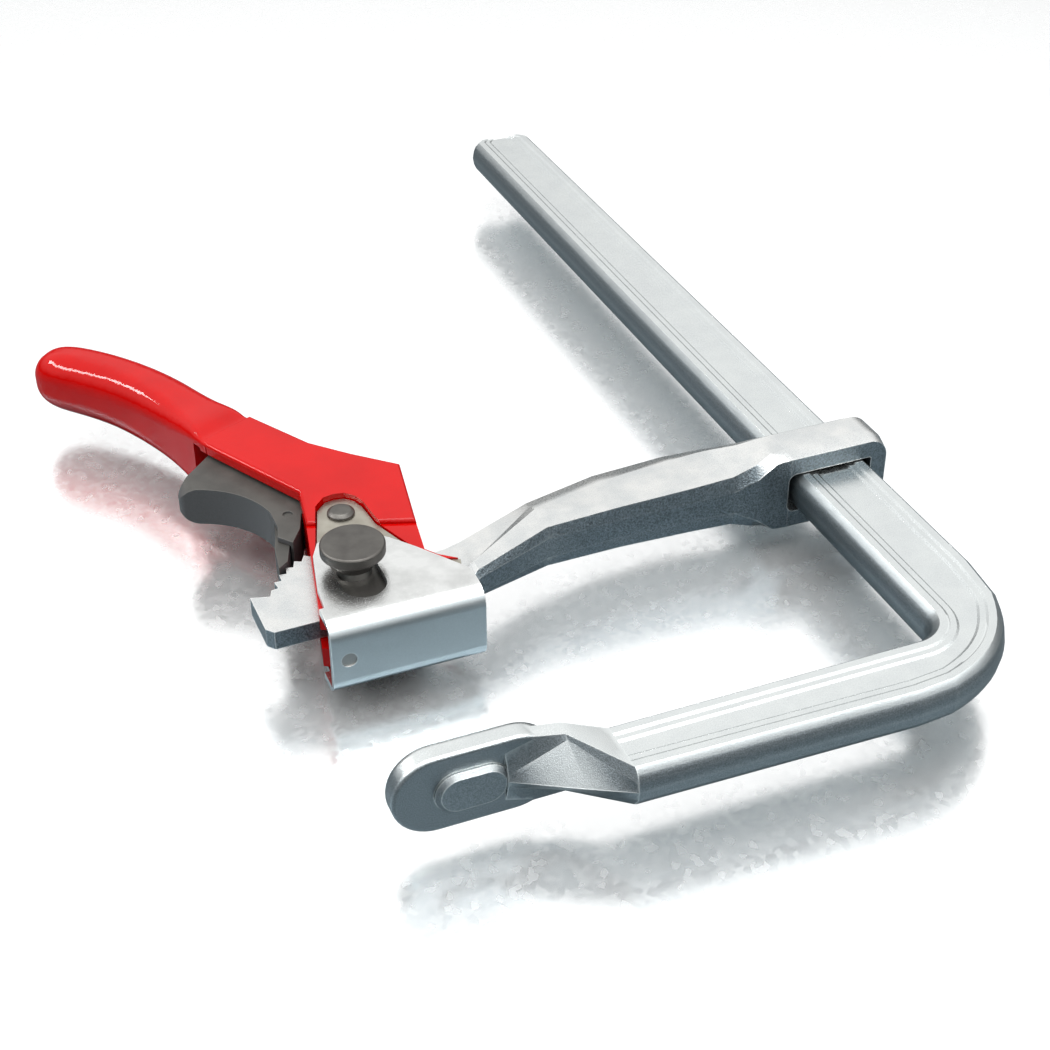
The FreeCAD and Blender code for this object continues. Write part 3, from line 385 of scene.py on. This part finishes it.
def grained_metal(name, light, dark, side_tone_and_shade, roughness, grain, depths, speck_low, metallic=1.0):
    """Metal with a grain, rougher and darker on its sides (partly painted shade), with a painted highlight
    along its edges. Depths are in mm, on faces and on sides.
    """
    material, tree, shader = new_material(name)
    shader.inputs["Metallic"].default_value = metallic
    texture = add_node(tree, "ShaderNodeGroup", node_tree=grain_group)
    texture.inputs["Grain per metre"].default_value = grain
    side = add_node(tree, "ShaderNodeGroup", node_tree=side_group).outputs["Side"]
    edge = add_node(tree, "ShaderNodeGroup", node_tree=edge_group).outputs["Edge"]
    face_colour = mix_colour(tree, texture.outputs["Cloud"], dark, light)
    # The sides' darker colour is partly the rough forged surface and partly painted shade.
    side_speck_low_and_shade = [part * speck_low for part in side_tone_and_shade]
    side_colour_and_shade = mix_colour(tree, texture.outputs["Speck"], side_speck_low_and_shade, side_tone_and_shade)
    colour = mix_colour(tree, side, face_colour, side_colour_and_shade)
    # Painted highlight: the rounded edges get a brighter colour than the rest of the surface.
    painted_edge_highlight = [min(1.0, part * EDGE_HIGHLIGHT_GAIN) for part in light]
    tree.links.new(mix_colour(tree, edge, colour, painted_edge_highlight), shader.inputs["Base Color"])
    face_rough = range_of(tree, texture.outputs["Speck"], *roughness)
    side_rough = maths(tree, "MULTIPLY", side, SIDE_ROUGHNESS)
    tree.links.new(maths(tree, "ADD", face_rough, side_rough), shader.inputs["Roughness"])
    face_depth, side_depth = (depth * MM for depth in depths)
    depth = range_of(tree, side, face_depth, side_depth)
    add_bump(tree, shader, maths(tree, "MULTIPLY", texture.outputs["Height"], depth))
    return material


zinc_bar = grained_metal(
    "zinc on the bar", light=(0.69, 0.72, 0.715), dark=(0.65, 0.68, 0.68), side_tone_and_shade=(0.28, 0.32, 0.34),
    roughness=(0.22, 0.32), grain=3200.0, depths=(0.02, 0.12), speck_low=0.55)
zinc_arm = grained_metal(
    "zinc on the forged arm", light=(0.74, 0.745, 0.73), dark=(0.63, 0.65, 0.65),
    side_tone_and_shade=(0.25, 0.30, 0.33), roughness=(0.24, 0.36), grain=1900.0, depths=(0.04, 0.30), speck_low=0.45)
zinc_plate = grained_metal(
    "zinc on the pressure plate", light=(0.76, 0.77, 0.76), dark=(0.62, 0.63, 0.62),
    side_tone_and_shade=(0.62, 0.68, 0.70), roughness=(0.18, 0.28), grain=2600.0, depths=(0.03, 0.01), speck_low=0.94)
pin_metal = grained_metal(
    "turned steel", light=(0.50, 0.50, 0.49), dark=(0.42, 0.42, 0.41), side_tone_and_shade=(0.42, 0.42, 0.41),
    roughness=(0.24, 0.34), grain=3000.0, depths=(0.01, 0.02), speck_low=0.9)
cam_metal = grained_metal(
    "hardened cam steel", light=(0.44, 0.42, 0.36), dark=(0.33, 0.31, 0.26), side_tone_and_shade=(0.34, 0.33, 0.29),
    roughness=(0.30, 0.42), grain=2600.0, depths=(0.03, 0.04), speck_low=0.8)
cap_metal = grained_metal(
    "blackened steel", light=(0.125, 0.12, 0.11), dark=(0.085, 0.08, 0.075), side_tone_and_shade=(0.08, 0.075, 0.07),
    roughness=(0.34, 0.44), grain=2600.0, depths=(0.02, 0.03), speck_low=0.8, metallic=0.85)
trigger_metal = grained_metal(
    "dark coated trigger", light=(0.065, 0.063, 0.057), dark=(0.045, 0.044, 0.04),
    side_tone_and_shade=(0.08, 0.08, 0.082), roughness=(0.40, 0.50), grain=2400.0, depths=(0.03, 0.04),
    speck_low=0.8, metallic=0.35)

# %% [markdown]
# ## Red lacquer
#
# The handle is a casting under a thick, glossy red lacquer. A clear coat over a softer red gives the
# bright window-like highlights, and a very slight waviness keeps them from looking like glass.

# %% Lacquer
RED_DEEP = (0.32, 0.0006, 0.0004)
RED_BRIGHT = (0.37, 0.001, 0.0006)
RED_ROUGHNESS = (0.30, 0.36)
WAVES_PER_METRE = 480.0
CLOUDS_PER_METRE = 45.0
WAVE_DEPTH = 0.02 * MM
COAT_WEIGHT = 0.55
COAT_ROUGHNESS = 0.06


def red_lacquer():
    material, tree, shader = new_material("red lacquer")
    texture = add_node(tree, "ShaderNodeGroup", node_tree=grain_group)
    texture.inputs["Grain per metre"].default_value = WAVES_PER_METRE
    texture.inputs["Cloud per metre"].default_value = CLOUDS_PER_METRE
    colour = mix_colour(tree, texture.outputs["Cloud"], RED_DEEP, RED_BRIGHT)
    tree.links.new(colour, shader.inputs["Base Color"])
    roughness = range_of(tree, texture.outputs["Speck"], *RED_ROUGHNESS)
    tree.links.new(roughness, shader.inputs["Roughness"])
    shader.inputs["Specular IOR Level"].default_value = 0.0
    shader.inputs["Coat Weight"].default_value = COAT_WEIGHT
    shader.inputs["Coat Roughness"].default_value = COAT_ROUGHNESS
    bump = add_bump(tree, shader, maths(tree, "MULTIPLY", texture.outputs["Height"], WAVE_DEPTH))
    tree.links.new(bump.outputs[0], shader.inputs["Coat Normal"])
    return material


lacquer = red_lacquer()

# %% Give each piece its finish
FINISHES = {
    zinc_bar: ["fixed_bar"],
    zinc_arm: ["sliding_arm"],
    zinc_plate: ["pressure_plate"],
    pin_metal: ["pivot_pin", "link_spacer", "trigger_pin", "trigger_spring", "plate_rivet", "plate_spring"],
    cam_metal: ["cam_plate_top", "cam_plate_bottom"],
    # The collars and slide shims take the same near-black steel as the caps, which keeps the inside of the
    # slot under the flange dark.
    cap_metal: ["pin_cap_top", "pin_cap_bottom", "collar_top", "collar_bottom", "link_rivet",
                "slide_shim_top", "slide_shim_bottom"],
    trigger_metal: ["release_trigger", "pawl", "pawl_rivet"],
    lacquer: ["lever_handle"],
}

for material, names in FINISHES.items():
    for name in names:
        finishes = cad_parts[name].data.materials
        finishes.clear()
        finishes.append(material)
print("finished:", sum(len(names) for names in FINISHES.values()))
